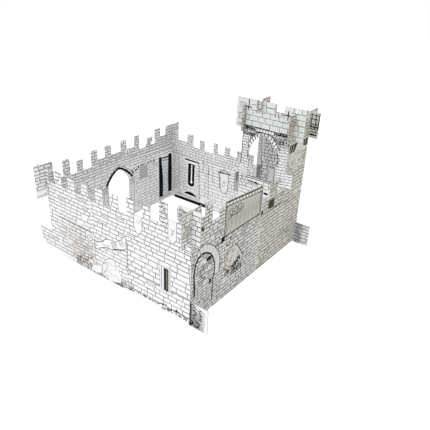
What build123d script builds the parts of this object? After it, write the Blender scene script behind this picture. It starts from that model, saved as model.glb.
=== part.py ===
from build123d import *
import os

# A toy castle of flat cardboard sheets that stand on edge and cross in half-depth slots.
# Millimetres, +Z up. The origin is on the floor, under the middle of the castle's outline.
# X runs from the left wall to the gate wall, Y from the front wall to the rear wall.

# Board
board = 2.0
slot_gap = 0.3
grip = board / 2 + slot_gap
snug = board + slot_gap

# Plan, from middle plane to middle plane
wall_span_x = 420.0
wall_span_y = 432.0
tower_depth = 73.0
tower_width = 133.0
head_seat = 5.0

# Crossings: how far a sheet reaches past its neighbour
corner_stub = 28.0
near_stub = 20.0
foot_reach = 45.0
foot_height = 58.0
tower_lip = 12.0
head_stub_left = 25.0
head_stub_right = 24.0
head_left_stub_front = 15.0
head_right_stub_front = 28.0
head_stub_rear = 35.0
tab_reach = 12.0

# Heights of the walls where they are whole
left_top = 229.0
rear_top = 213.0
front_left_top = 221.0
corner_top = 256.0

# Heights of the stubs past the corners, and how deep the lower of the two slots runs up
near_stub_height = 70.0
near_slot = 35.0
far_stub_height = 79.0
far_slot = 32.0

# Gaps and teeth, hand-drawn and so uneven. One row for each gap: its width, its floor's height, and the
# width and the top of the tooth after it
front_near_block = 34.0
front_rows = (
    (22.0, 189.0, 22.0, 221.0),
    (22.0, 189.0, 22.0, 221.0),
    (22.0, 189.0, 22.0, 221.0),
    (22.0, 189.0, 22.0, 221.0),
    (22.0, 190.0, 22.0, 223.0),
    (23.0, 191.0, 21.0, 229.0),
    (22.0, 198.0, 21.0, 230.0),
    (22.0, 204.0, 22.0, 250.0),
    (22.0, 219.0, 0.0, 256.0),
)
left_front_block = 21.0
bent_row = (25.0, 187.0, 20.0, 188.0)
left_rows = (
    (26.0, 184.0, 20.0, 223.0),
    (19.0, 182.0, 19.0, 211.0),
    (25.0, 183.0, 20.5, 223.5),
    (24.0, 197.0, 20.5, 225.0),
    (33.0, 198.0, 21.0, 226.0),
    (27.5, 199.0, 19.0, 227.0),
    bent_row,
    (16.0, 189.0, 23.0, 230.0),
    (26.0, 203.0, 0.0, 229.0),
)
rear_rows = (
    (33.0, 188.0, 23.0, 213.0),
    (23.0, 178.0, 18.0, 204.0),
    (29.5, 177.0, 16.0, 207.0),
    (21.5, 180.0, 19.5, 206.0),
    (21.0, 184.0, 19.5, 204.0),
    (15.5, 183.0, 19.0, 204.0),
    (8.5, 180.0, 0.0, 213.0),
)

# The tooth of the bent row leans inwards, and its tip is folded back
bent_lean = 19.0
bent_length = 25.0
bent_fold = 155.0
bent_fold_radius = 1.7
bent_tip = 9.0

# Gate wall's outline, from the front wall's plane
gate_block = 26.0
gate_near_gap = 13.0
gate_near_notch = 229.0
gate_tooth = 22.0
gate_tooth_top = 252.0
gate_far_gap = 24.0
gate_far_notch = 210.0
gate_margin = 19.0
gate_margin_top = 225.0
gate_width = 140.0
gate_near_top = 234.0
gate_far_top = 222.0
gate_side_gap = 35.0
gate_side_notch = 184.0
gate_last_tooth = 32.0
gate_last_tooth_top = 212.0

# Doorway in the left wall
doorway_from_front = 216.0
doorway_width = 72.0
doorway_spring = 112.0
doorway_rise = 37.0
doorway_bow = 5.5

# Keyhole arrow slit in the rear wall
slit_from_gate = 344.0
slit_width = 3.2
slit_low = 68.0
slit_length = 54.0
slit_eye = 3.6

# Tower: the shoulders that carry the head, and the tongues that stand up inside it
shoulder = 291.0
front_shoulder_rise = 6.0
rear_shoulder_drop = 5.0
tongue = 39.0
back_inset = 3.5
arch_pillar = 22.0
arch_right_pillar = 34.0
arch_cover = 39.0
arch_rise = 53.0
arch_jamb = 57.0
arch_bow = 9.0
tab_low = 176.0
tab_height = 38.0
tab_notch_play = 3.0

# Tower head
head_front_height = 72.0
head_side_height = 64.0
head_rear_height = 62.0
head_slot = 32.0
head_tooth = 28.0
head_gap = 22.0
head_front_tooth_height = 26.0
head_rear_tooth_height = 24.0
head_rear_tooth_shift = 11.0
side_tooth = 16.0
side_gap = 18.0
side_tooth_shift = 10.0
side_tooth_height = 24.0
right_rear_drop = 5.0

# Planes of the sheets
gate_x = wall_span_x / 2
left_x = -gate_x
head_reach = snug + head_stub_rear
front_y = (corner_stub - wall_span_y - head_reach) / 2
rear_y = front_y + wall_span_y
tower_y = rear_y - tower_depth
tower_x = gate_x - tower_width
tower_back_x = tower_x + back_inset
head_left_x = tower_x + head_seat
head_right_x = gate_x + snug
head_front_y = tower_y - snug
head_rear_y = rear_y + snug

# Levels above the floor
near_stub_low = corner_top - near_stub_height
near_lap = near_stub_low + near_slot
far_stub_low = left_top - far_stub_height
far_lap = far_stub_low + far_slot
front_shoulder = shoulder + front_shoulder_rise
rear_shoulder = shoulder - rear_shoulder_drop
tongue_top = shoulder + tongue
head_lap = shoulder + head_slot
castle_top = front_shoulder + head_front_height


def facing_front(y):
    # Sketch plane of a sheet that runs along X: the sketch's x is X, its y is Z
    return Plane(origin=(0, y, 0), x_dir=(1, 0, 0), z_dir=(0, -1, 0))


def facing_side(x):
    # Sketch plane of a sheet that runs along Y: the sketch's x is Y, its y is Z
    return Plane(origin=(x, 0, 0), x_dir=(0, 1, 0), z_dir=(1, 0, 0))


def patch(left, right, low, high, mode=Mode.ADD):
    # A rectangle by its four sides
    with Locations((left, low)):
        Rectangle(right - left, high - low, align=(Align.MIN, Align.MIN), mode=mode)


def slot_up(middle, low, high):
    # Slot from a sheet's lower edge
    patch(middle - grip, middle + grip, low, high, Mode.SUBTRACT)


def slot_down(middle, low):
    # Slot from a sheet's upper edge
    patch(middle - grip, middle + grip, low, castle_top, Mode.SUBTRACT)


def cut_gaps(start, count, tooth, gap, depth, top):
    # A run of even gaps with a tooth after each
    for step in range(count):
        left = start + step * (tooth + gap)
        patch(left, left + gap, top - depth, castle_top, Mode.SUBTRACT)


def cut_rows(start, rows):
    # The uneven gaps of a wall, and the tops of the teeth between them. Gives where each tooth starts.
    tooth_starts = []
    for gap, floor, tooth, top in rows:
        patch(start, start + gap, floor, castle_top, Mode.SUBTRACT)
        start += gap
        tooth_starts.append(start)
        if tooth > 0:
            patch(start, start + tooth, top, castle_top, Mode.SUBTRACT)
        start += tooth
    return tooth_starts


def row_length(rows):
    return sum(gap + tooth for gap, floor, tooth, top in rows)


def pointed_arch(middle, width, low, spring, rise, bow):
    # Opening with straight jambs and two bowed sides that meet in a point
    half = width / 2
    apex = spring + rise
    with BuildLine(mode=Mode.PRIVATE) as outline:
        Line((middle - half, spring), (middle - half, low))
        Line((middle - half, low), (middle + half, low))
        Line((middle + half, low), (middle + half, spring))
        SagittaArc((middle + half, spring), (middle, apex), -bow)
        SagittaArc((middle, apex), (middle - half, spring), -bow)
    make_face(outline.edges(), mode=Mode.SUBTRACT)


def head_profile(low, height, tooth_height, tooth_shift):
    # Front or rear sheet of the tower's head: two gaps with a tooth between them
    middle = (head_left_x + head_right_x) / 2 + tooth_shift
    top = low + height
    patch(head_left_x - head_stub_left, head_right_x + head_stub_right, low, top)
    cut_gaps(middle - head_tooth / 2 - head_gap, 2, head_tooth, head_gap, tooth_height, top)
    slot_up(head_left_x, low, head_lap)
    slot_down(head_right_x, head_lap)


# Front wall
with BuildPart() as front_wall:
    with BuildSketch(facing_front(front_y)):
        first_gap_x = gate_x - front_near_block - row_length(front_rows)
        patch(left_x - board / 2, first_gap_x, 0, front_left_top)
        patch(first_gap_x, gate_x + board / 2, 0, corner_top)
        patch(left_x - foot_reach, gate_x + foot_reach, 0, foot_height)
        patch(left_x - corner_stub, left_x, far_stub_low, front_left_top)
        patch(gate_x, gate_x + near_stub, near_stub_low, corner_top)
        cut_rows(first_gap_x, front_rows)
        slot_down(left_x, far_lap)
        slot_down(gate_x, near_lap)
    extrude(amount=board / 2, both=True)
front_wall.part.label = "front_wall"

# Left wall, with the doorway and the bent tooth
with BuildPart() as left_wall:
    with BuildSketch(facing_side(left_x)):
        patch(front_y + grip, rear_y - grip, 0, left_top)
        patch(front_y - corner_stub, rear_y + corner_stub, far_stub_low, left_top)
        left_tooth_starts = cut_rows(front_y + left_front_block, left_rows)
        slot_up(front_y, far_stub_low, far_lap)
        slot_up(rear_y, far_stub_low, far_lap)
        door_y = front_y + doorway_from_front
        pointed_arch(door_y, doorway_width, 0, doorway_spring, doorway_rise, doorway_bow)
    extrude(amount=board / 2, both=True)
    # Section of the bent tooth: it leans inwards from its root, and its tip is folded back outwards
    bent_gap, bent_floor, bent_width, bent_root = bent_row
    bent_start = left_tooth_starts[left_rows.index(bent_row)]
    with BuildSketch(facing_front(bent_start + bent_width)):
        with BuildLine():
            root = JernArc((left_x, bent_root), (0, 1), board, -bent_lean)
            stem = PolarLine(root @ 1, bent_length, direction=root % 1)
            fold = JernArc(stem @ 1, stem % 1, bent_fold_radius, bent_fold)
            PolarLine(fold @ 1, bent_tip, direction=fold % 1)
        trace(line_width=board)
    extrude(amount=bent_width)
left_wall.part.label = "left_wall"

# Rear wall, with the arrow slit, and the tower's back as its tall end
with BuildPart() as rear_wall:
    with BuildSketch(facing_front(rear_y)):
        patch(left_x - board / 2, gate_x - grip, 0, rear_top)
        patch(left_x - foot_reach, gate_x + foot_reach, 0, foot_height)
        patch(left_x - corner_stub, left_x, far_stub_low, rear_top)
        cut_rows(tower_back_x - row_length(rear_rows), rear_rows)
        patch(tower_back_x, gate_x - grip, 0, shoulder)
        patch(head_left_x + grip, gate_x - grip, 0, tongue_top)
        slot_down(left_x, far_lap)
        slit_x = gate_x - slit_from_gate
        slit_left = slit_x - slit_width / 2
        patch(slit_left, slit_left + slit_width, slit_low, slit_low + slit_length, Mode.SUBTRACT)
        with Locations((slit_x, slit_low)):
            Circle(slit_eye, mode=Mode.SUBTRACT)
    extrude(amount=board / 2, both=True)
rear_wall.part.label = "rear_wall"

# Gate wall, with the tower's right side as its tall end
with BuildPart() as gate_wall:
    with BuildSketch(facing_side(gate_x)):
        near_gap_y = front_y + gate_block
        near_tooth_y = near_gap_y + gate_near_gap
        far_gap_y = near_tooth_y + gate_tooth
        margin_y = far_gap_y + gate_far_gap
        timber_y = margin_y + gate_margin
        side_gap_y = timber_y + gate_width
        last_tooth_y = side_gap_y + gate_side_gap
        last_gap_y = last_tooth_y + gate_last_tooth
        tower_start_y = tower_y - tower_lip
        tower_end_y = rear_y + tower_lip
        patch(front_y + grip, tower_end_y, 0, gate_side_notch)
        patch(front_y - corner_stub, near_gap_y, near_stub_low, corner_top)
        patch(front_y + grip, near_tooth_y, 0, gate_near_notch)
        patch(near_tooth_y, far_gap_y, 0, gate_tooth_top)
        patch(far_gap_y, margin_y, 0, gate_far_notch)
        patch(margin_y, timber_y, 0, gate_margin_top)
        with BuildLine():
            Polyline(
                (timber_y, 0),
                (side_gap_y, 0),
                (side_gap_y, gate_far_top),
                (timber_y, gate_near_top),
                close=True,
            )
        make_face()
        patch(last_tooth_y, last_gap_y, 0, gate_last_tooth_top)
        patch(tower_start_y, tower_end_y, 0, rear_shoulder)
        patch(tower_start_y, rear_y, 0, front_shoulder)
        patch(head_front_y + grip, head_rear_y - grip, 0, tongue_top)
        tab_notch_top = tab_low + tab_height + tab_notch_play
        patch(tower_start_y, tower_y + grip, tab_low, tab_notch_top, Mode.SUBTRACT)
        slot_up(front_y, near_stub_low, near_lap)
        slot_up(rear_y, 0, foot_height)
    extrude(amount=board / 2, both=True)
gate_wall.part.label = "gate_wall"

# Tower front, with its arched opening and the tab through the gate wall
with BuildPart() as tower_front:
    with BuildSketch(facing_front(tower_y)):
        patch(tower_x, gate_x - grip, 0, shoulder)
        patch(head_left_x + grip, gate_x - grip, 0, tongue_top)
        patch(gate_x - grip, gate_x + tab_reach, tab_low, tab_low + tab_height)
        arch_width = tower_width - arch_pillar - arch_right_pillar
        arch_x = tower_x + arch_pillar + arch_width / 2
        arch_spring = tongue_top - arch_cover - arch_rise
        arch_sill = arch_spring - arch_jamb
        pointed_arch(arch_x, arch_width, arch_sill, arch_spring, arch_rise, arch_bow)
    extrude(amount=board / 2, both=True)
tower_front.part.label = "tower_front"

# Tower head: front and rear sheets
with BuildPart() as head_front:
    with BuildSketch(facing_front(head_front_y)):
        head_profile(front_shoulder, head_front_height, head_front_tooth_height, 0)
    extrude(amount=board / 2, both=True)
head_front.part.label = "head_front"

with BuildPart() as head_rear:
    with BuildSketch(facing_front(head_rear_y)):
        head_profile(rear_shoulder, head_rear_height, head_rear_tooth_height, head_rear_tooth_shift)
    extrude(amount=board / 2, both=True)
head_rear.part.label = "head_rear"


def side_profile(front_stub, rear_drop):
    # Left or right sheet of the tower's head, without its slots. Its rear end may be lower.
    middle = (head_front_y + head_rear_y) / 2 + side_tooth_shift
    rear_start = middle + side_tooth / 2 + side_gap
    top = shoulder + head_side_height
    patch(head_front_y - front_stub, rear_start, shoulder, top)
    patch(rear_start, head_rear_y + head_stub_rear, shoulder, top - rear_drop)
    cut_gaps(middle - side_tooth / 2 - side_gap, 2, side_tooth, side_gap, side_tooth_height, top)


# The left sheet carries the front and rear ones, and they carry the right one
with BuildPart() as head_left:
    with BuildSketch(facing_side(head_left_x)):
        side_profile(head_left_stub_front, 0)
        slot_down(head_front_y, head_lap)
        slot_down(head_rear_y, head_lap)
    extrude(amount=board / 2, both=True)
head_left.part.label = "head_left"

with BuildPart() as head_right:
    with BuildSketch(facing_side(head_right_x)):
        side_profile(head_right_stub_front, right_rear_drop)
        slot_up(head_front_y, shoulder, head_lap)
        slot_up(head_rear_y, shoulder, head_lap)
    extrude(amount=board / 2, both=True)
head_right.part.label = "head_right"

os.makedirs("parts", exist_ok=True)
export_step(front_wall.part, "parts/front_wall.step")
export_step(left_wall.part, "parts/left_wall.step")
export_step(rear_wall.part, "parts/rear_wall.step")
export_step(gate_wall.part, "parts/gate_wall.step")
export_step(tower_front.part, "parts/tower_front.step")
export_step(head_front.part, "parts/head_front.step")
export_step(head_rear.part, "parts/head_rear.step")
export_step(head_left.part, "parts/head_left.step")
export_step(head_right.part, "parts/head_right.step")
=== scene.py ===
import bpy
import math
import random
from mathutils import Matrix, Vector
from mathutils.bvhtree import BVHTree
from mathutils.geometry import tessellate_polygon


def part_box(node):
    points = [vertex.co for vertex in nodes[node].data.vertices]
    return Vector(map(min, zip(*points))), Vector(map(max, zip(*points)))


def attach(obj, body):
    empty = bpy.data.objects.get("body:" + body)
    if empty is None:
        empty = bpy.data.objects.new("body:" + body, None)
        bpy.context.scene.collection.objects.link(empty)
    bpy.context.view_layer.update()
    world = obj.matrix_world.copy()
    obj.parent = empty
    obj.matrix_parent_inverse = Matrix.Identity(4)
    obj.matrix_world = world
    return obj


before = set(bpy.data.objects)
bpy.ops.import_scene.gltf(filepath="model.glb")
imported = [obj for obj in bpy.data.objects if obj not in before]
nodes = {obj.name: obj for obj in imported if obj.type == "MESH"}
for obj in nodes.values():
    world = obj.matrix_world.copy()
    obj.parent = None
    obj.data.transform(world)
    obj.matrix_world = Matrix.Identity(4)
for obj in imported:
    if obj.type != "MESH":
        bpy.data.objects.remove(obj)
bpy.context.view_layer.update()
print("castle sheets loaded:", len(nodes))

mm = 0.001


# Node helpers

def addNode(tree, kind, **settings):
    # Nodes are laid out in rows of eight, in the order they are made
    count = len(tree.nodes)
    node = tree.nodes.new(kind)
    node.location = (count % 8 * 200, count // 8 * -300)
    for key, value in settings.items():
        setattr(node, key, value)
    return node


def newGroup(name, inputs, outputs):
    group = bpy.data.node_groups.new(name, "ShaderNodeTree")
    for label, default in inputs:
        socket = group.interface.new_socket(name=label, in_out="INPUT", socket_type="NodeSocketFloat")
        socket.default_value = default
    for label, kind in outputs:
        group.interface.new_socket(name=label, in_out="OUTPUT", socket_type=kind)
    start = addNode(group, "NodeGroupInput")
    end = addNode(group, "NodeGroupOutput")
    return group, start, end


def useGroup(tree, group, **values):
    node = addNode(tree, "ShaderNodeGroup")
    node.node_tree = group
    for key, value in values.items():
        node.inputs[key].default_value = value
    return node


def plug(tree, node, slot, value):
    # A number or colour is set, a socket is linked
    if isinstance(value, (int, float, tuple)):
        node.inputs[slot].default_value = value
    elif value is not None:
        tree.links.new(value, node.inputs[slot])


def calc(tree, operation, first, second=None, clamp=False):
    node = addNode(tree, "ShaderNodeMath", operation=operation, use_clamp=clamp)
    plug(tree, node, 0, first)
    plug(tree, node, 1, second)
    return node.outputs[0]


def chain(tree, value, *steps):
    # Math nodes in a row, each with an operation and perhaps a second value
    for operation, *second in steps:
        value = calc(tree, operation, value, *second)
    return value


def mixColour(tree, factor, first, second, blend="MIX"):
    node = addNode(tree, "ShaderNodeMix", data_type="RGBA", blend_type=blend)
    for slot, value in ((0, factor), (6, first), (7, second)):
        plug(tree, node, slot, value)
    return node.outputs[2]


def newMaterial(name, roughness, specular):
    material = bpy.data.materials.new(name)
    material.use_nodes = True
    tree = material.node_tree
    shader = tree.nodes["Principled BSDF"]
    shader.inputs["Roughness"].default_value = roughness
    shader.inputs["Specular IOR Level"].default_value = specular
    return material, tree, shader


def rgb(red, green, blue):
    return (red, green, blue, 1.0)


# Paper surface: fine fibres and slow blotches, with the noise's scale and detail

paperLook = {
    "Fibre": (900, 4),
    "Blotch": (14, 3),
}


def makePaperGroup():
    group, start, end = newGroup(
        "paperTooth",
        [("Blotch", 0.03), ("Fibre", 0.03)],
        [("Tone", "NodeSocketColor"), ("Height", "NodeSocketFloat")],
    )
    coords = addNode(group, "ShaderNodeTexCoord")
    swings = []
    for label, (scale, detail) in paperLook.items():
        noise = addNode(group, "ShaderNodeTexNoise")
        noise.inputs["Scale"].default_value = scale
        noise.inputs["Detail"].default_value = detail
        group.links.new(coords.outputs["Object"], noise.inputs["Vector"])
        amount = start.outputs[label]
        swings.append(chain(group, noise.outputs["Fac"], ("SUBTRACT", 0.5), ("MULTIPLY", amount)))
        if label == "Fibre":
            group.links.new(noise.outputs["Fac"], end.inputs["Height"])
    tone = chain(group, 1.0, *[("ADD", swing) for swing in swings])
    group.links.new(tone, end.inputs["Tone"])
    return group


# Cut edge of the board: two liners with a wavy core between them, in metres

fluteLook = {"pitch": 0.0052, "swing": 0.00062, "coreHalf": 0.00024, "insideHalf": 0.00078}


def makeEdgeGroup():
    inputs = [("Along", 0.0), ("Across", 0.0)]
    group, start, end = newGroup("fluteEdge", inputs, [("Core", "NodeSocketFloat")])
    along, across = start.outputs["Along"], start.outputs["Across"]
    turns = 2 * math.pi / fluteLook["pitch"]
    wave = chain(group, along, ("MULTIPLY", turns), ("SINE",), ("MULTIPLY", fluteLook["swing"]))
    away = chain(group, across, ("SUBTRACT", wave), ("ABSOLUTE",))
    gap = calc(group, "GREATER_THAN", away, fluteLook["coreHalf"])
    inner = chain(group, across, ("ABSOLUTE",), ("LESS_THAN", fluteLook["insideHalf"]))
    group.links.new(calc(group, "MULTIPLY", gap, inner), end.inputs["Core"])
    return group


# A soft-edged rectangle of shade on a sheet

def makeFieldGroup():
    labels = ("Along", "Up", "Middle Along", "Middle Up", "Half Along", "Half Up", "Soft")
    inputs = [(label, 0.01) for label in labels]
    group, start, end = newGroup("softField", inputs, [("Mask", "NodeSocketFloat")])
    masks = []
    for axis in ("Along", "Up"):
        steps = (
            ("SUBTRACT", start.outputs["Middle " + axis]),
            ("ABSOLUTE",),
            ("SUBTRACT", start.outputs["Half " + axis]),
            ("DIVIDE", start.outputs["Soft"]),
        )
        away = chain(group, start.outputs[axis], *steps)
        masks.append(calc(group, "SUBTRACT", 1.0, away, clamp=True))
    mask = calc(group, "MULTIPLY", *masks)
    group.links.new(mask, end.inputs["Mask"])
    return group


paperTooth = makePaperGroup()
fluteEdge = makeEdgeGroup()
softField = makeFieldGroup()
print("shader groups made")


# Card of the sheets. Each side has its own printed ground and fields of shade.

cardLook = {
    "liner": rgb(0.6, 0.585, 0.55),
    "core": rgb(0.36, 0.32, 0.26),
    "roughness": 0.62,
    "specular": 0.3,
    "tooth": 0.05,
    "bump": 0.12,
    "bumpDepth": 0.0004,
}


def addField(tree, colour, along, up, field):
    left, right, low, high, soft, tint, weight = field
    node = useGroup(tree, softField)
    tree.links.new(along, node.inputs["Along"])
    tree.links.new(up, node.inputs["Up"])
    node.inputs["Middle Along"].default_value = (left + right) / 2 * mm
    node.inputs["Middle Up"].default_value = (low + high) / 2 * mm
    node.inputs["Half Along"].default_value = max((right - left) / 2 - soft, 0.1) * mm
    node.inputs["Half Up"].default_value = max((high - low) / 2 - soft, 0.1) * mm
    node.inputs["Soft"].default_value = soft * mm
    amount = calc(tree, "MULTIPLY", node.outputs["Mask"], weight)
    return mixColour(tree, amount, colour, tint)


def cardMaterial(name, along, plane, lowSide, highSide):
    # lowSide and highSide are the faces towards -axis and +axis: a ground colour and a list of fields
    material, tree, shader = newMaterial(name, cardLook["roughness"], cardLook["specular"])
    coords = addNode(tree, "ShaderNodeTexCoord")
    split = addNode(tree, "ShaderNodeSeparateXYZ")
    tree.links.new(coords.outputs["Object"], split.inputs[0])
    geometry = addNode(tree, "ShaderNodeNewGeometry")
    facing = addNode(tree, "ShaderNodeSeparateXYZ")
    tree.links.new(geometry.outputs["True Normal"], facing.inputs[0])
    acrossAxis = "Y" if along == "X" else "X"
    isHigh = calc(tree, "GREATER_THAN", facing.outputs[acrossAxis], 0.0)
    isFace = chain(tree, facing.outputs[acrossAxis], ("ABSOLUTE",), ("GREATER_THAN", 0.5))
    grounds = []
    for colour, fields in (lowSide, highSide):
        for field in fields:
            colour = addField(tree, colour, split.outputs[along], split.outputs["Z"], field)
        grounds.append(colour)
    face = mixColour(tree, isHigh, *grounds)
    tooth = useGroup(tree, paperTooth, Blotch=cardLook["tooth"], Fibre=cardLook["tooth"])
    face = mixColour(tree, 1.0, face, tooth.outputs["Tone"], "MULTIPLY")
    edge = useGroup(tree, fluteEdge)
    run = calc(tree, "ADD", split.outputs[along], split.outputs["Z"])
    across = calc(tree, "SUBTRACT", split.outputs[acrossAxis], plane)
    tree.links.new(run, edge.inputs["Along"])
    tree.links.new(across, edge.inputs["Across"])
    rim = mixColour(tree, edge.outputs["Core"], cardLook["liner"], cardLook["core"])
    colour = mixColour(tree, isFace, rim, face)
    tree.links.new(colour, shader.inputs["Base Color"])
    bump = addNode(tree, "ShaderNodeBump")
    bump.inputs["Strength"].default_value = cardLook["bump"]
    bump.inputs["Distance"].default_value = cardLook["bumpDepth"]
    tree.links.new(tooth.outputs["Height"], bump.inputs["Height"])
    tree.links.new(bump.outputs["Normal"], shader.inputs["Normal"])
    return material


plainSide = (rgb(0.93, 0.93, 0.925), [])
headSide = (rgb(0.765, 0.785, 0.76), [])
warmShade = rgb(0.5, 0.47, 0.4)
brownShade = rgb(0.58, 0.52, 0.47)
greyShade = rgb(0.62, 0.62, 0.62)
timberGround = rgb(0.64, 0.615, 0.555)
towerGround = rgb(0.62, 0.6, 0.53)
insideGround = rgb(0.91, 0.91, 0.905)

# For each sheet the axis it runs along, then the ground and fields of its low and high side.
# Fields are left, right, low, high, softness in millimetres, then tint and weight.
cardSides = {
    "front_wall": ("X", (rgb(0.89, 0.89, 0.89), [
        (-190, -44, -60, 130, 55, brownShade, 0.4),
        # Painted shadow on the foot past the corner: a dark strip beside the gate wall, and the foot darker
        # low down
        (209, 218, -6, 70, 3.0, rgb(0.12, 0.12, 0.12), 0.8),
        (205, 250, -20, 40, 16, rgb(0.3, 0.3, 0.31), 0.6),
    ]), plainSide),
    "left_wall": ("Y", plainSide, (rgb(0.93, 0.93, 0.93), [
        (-250, 250, 168, 240, 14, greyShade, 0.25),
        (150, 250, 150, 240, 20, greyShade, 0.4),
    ])),
    "rear_wall": ("X", (rgb(0.93, 0.93, 0.935), [
        (79, 215, 0, 335, 1, insideGround, 1.0),
        (-250, -60, 140, 220, 16, greyShade, 0.25),
        (-215, -150, 60, 200, 25, rgb(0.75, 0.78, 0.82), 0.12),
        # Painted shade on the foot past the gate wall, near the corner beside it
        (208, 240, -20, 80, 9, rgb(0.3, 0.3, 0.3), 0.75),
    ]), plainSide),
    "gate_wall": ("Y", plainSide, (rgb(0.72, 0.705, 0.66), [
        (-116, 23, 150, 236, 1, timberGround, 1.0),
        (-112, -30, 40, 128, 10, rgb(0.62, 0.6, 0.55), 0.6),
        (23, 230, -10, 340, 12, towerGround, 0.8),
        (-232, -204, 20, 190, 14, warmShade, 0.45),
    ])),
    "tower_front": ("X", (rgb(0.94, 0.945, 0.935), [
        (70, 215, 280, 335, 8, rgb(0.5, 0.5, 0.48), 0.5),
    ]), plainSide),
    "head_front": ("X", headSide, headSide),
    "head_rear": ("X", (headSide[0], [
        (212, 245, 280, 352, 6, rgb(0.56, 0.57, 0.53), 0.8),
    ]), headSide),
    "head_left": ("Y", headSide, (rgb(0.74, 0.73, 0.68), [
        (205, 255, 285, 360, 6, rgb(0.68, 0.61, 0.54), 0.8),
    ])),
    "head_right": ("Y", headSide, (rgb(0.6, 0.585, 0.515), [
        (100, 255, 285, 312, 8, rgb(0.56, 0.58, 0.5), 0.5),
    ])),
}

for nodeName, (along, lowSide, highSide) in cardSides.items():
    sheet = nodes[nodeName]
    lowest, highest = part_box(nodeName)
    plane = (lowest.y + highest.y) / 2 if along == "X" else (lowest.x + highest.x) / 2
    if nodeName == "left_wall":
        # The bent tooth widens this sheet's box, so its middle plane is measured from the flat side
        plane = lowest.x + mm
    material = cardMaterial(nodeName + "Card", along, plane, lowSide, highSide)
    sheet.data.materials.clear()
    sheet.data.materials.append(material)
print("card materials set")


# Inks

inkFinish = {"roughness": 0.7, "specular": 0.04, "tooth": 0.2}
inkLook = {
    "black": rgb(0.006, 0.006, 0.006),
    "line": rgb(0.025, 0.025, 0.027),
    "grey": rgb(0.1, 0.1, 0.105),
    "faint": rgb(0.25, 0.25, 0.26),
    "warm": rgb(0.06, 0.052, 0.04),
    "brown": rgb(0.12, 0.07, 0.05),
    "shade": rgb(0.5, 0.5, 0.5),
    "mid": rgb(0.7, 0.7, 0.7),
    "pale": rgb(0.82, 0.845, 0.87),
    "clean": rgb(0.94, 0.94, 0.94),
    "chalk": rgb(0.845, 0.845, 0.84),
    "cream": rgb(0.86, 0.83, 0.74),
    "tan": rgb(0.4, 0.375, 0.32),
}
inkOrder = list(inkLook)


def inkMaterial(name, colour):
    material, tree, shader = newMaterial(name + "Ink", inkFinish["roughness"], inkFinish["specular"])
    tooth = useGroup(tree, paperTooth, Blotch=inkFinish["tooth"], Fibre=inkFinish["tooth"])
    shade = mixColour(tree, 1.0, colour, tooth.outputs["Tone"], "MULTIPLY")
    tree.links.new(shade, shader.inputs["Base Color"])
    return material


inks = {name: inkMaterial(name, colour) for name, colour in inkLook.items()}


# Drawing on a sheet. Points are in millimetres: along the sheet, and up.

penLook = {
    # Start of a ray in front of the card and its reach, in metres
    "rayStart": 0.02,
    "rayReach": 0.06,
    # A ribbon's width varies by this share, and its ends taper to this share
    "pressure": (0.82, 1.18),
    "taper": 0.55,
    # Faces turned further away than this cosine take no ink
    "squareness": 0.3,
    # Halvings in the search for the card's edge
    "edgeSteps": 5,
}


def openSheet(name, nodeName, facing, seed):
    # facing is -1 or +1 along the sheet's thickness
    mesh = nodes[nodeName].data
    tree = BVHTree.FromPolygons([v.co for v in mesh.vertices], [p.vertices for p in mesh.polygons])
    along = cardSides[nodeName][0]
    lowest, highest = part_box(nodeName)
    thin = 1 if along == "X" else 0
    return {
        "name": name,
        "along": along,
        "facing": facing,
        "tree": tree,
        "start": (highest if facing > 0 else lowest)[thin] + facing * penLook["rayStart"],
        "clear": [],
        "verts": [],
        "faces": [],
        "slots": [],
        "random": random.Random(seed),
    }


def insideOutline(outline, u, v):
    inside = False
    previous = outline[-1]
    for corner in outline:
        if (corner[1] > v) != (previous[1] > v):
            cross = (previous[0] - corner[0]) * (v - corner[1]) / (previous[1] - corner[1]) + corner[0]
            if u < cross:
                inside = not inside
        previous = corner
    return inside


def keepClear(sheet, outline):
    us = [p[0] for p in outline]
    vs = [p[1] for p in outline]
    sheet["clear"].append(((min(us), max(us), min(vs), max(vs)), outline))


def touch(sheet, u, v, lift, over=True):
    # Where a point of the drawing lies on the card, or None beside it and, unless over, on a clear area
    if not over:
        for (left, right, low, high), outline in sheet["clear"]:
            if left < u < right and low < v < high and insideOutline(outline, u, v):
                return None
    facing = sheet["facing"]
    if sheet["along"] == "X":
        origin = Vector((u * mm, sheet["start"], v * mm))
        aim = Vector((0, -facing, 0))
    else:
        origin = Vector((sheet["start"], u * mm, v * mm))
        aim = Vector((-facing, 0, 0))
    spot, normal = sheet["tree"].ray_cast(origin, aim, penLook["rayReach"])[:2]
    if spot is None or abs(normal.dot(aim)) < penLook["squareness"]:
        return None
    return spot - aim * lift


def addRibbon(sheet, rows, slot):
    if len(rows) < 2:
        return
    first = len(sheet["verts"])
    for pair in rows:
        sheet["verts"].extend(pair)
    for base in range(first, first + 2 * len(rows) - 2, 2):
        sheet["faces"].append((base, base + 1, base + 3, base + 2))
        sheet["slots"].append(slot)


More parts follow.
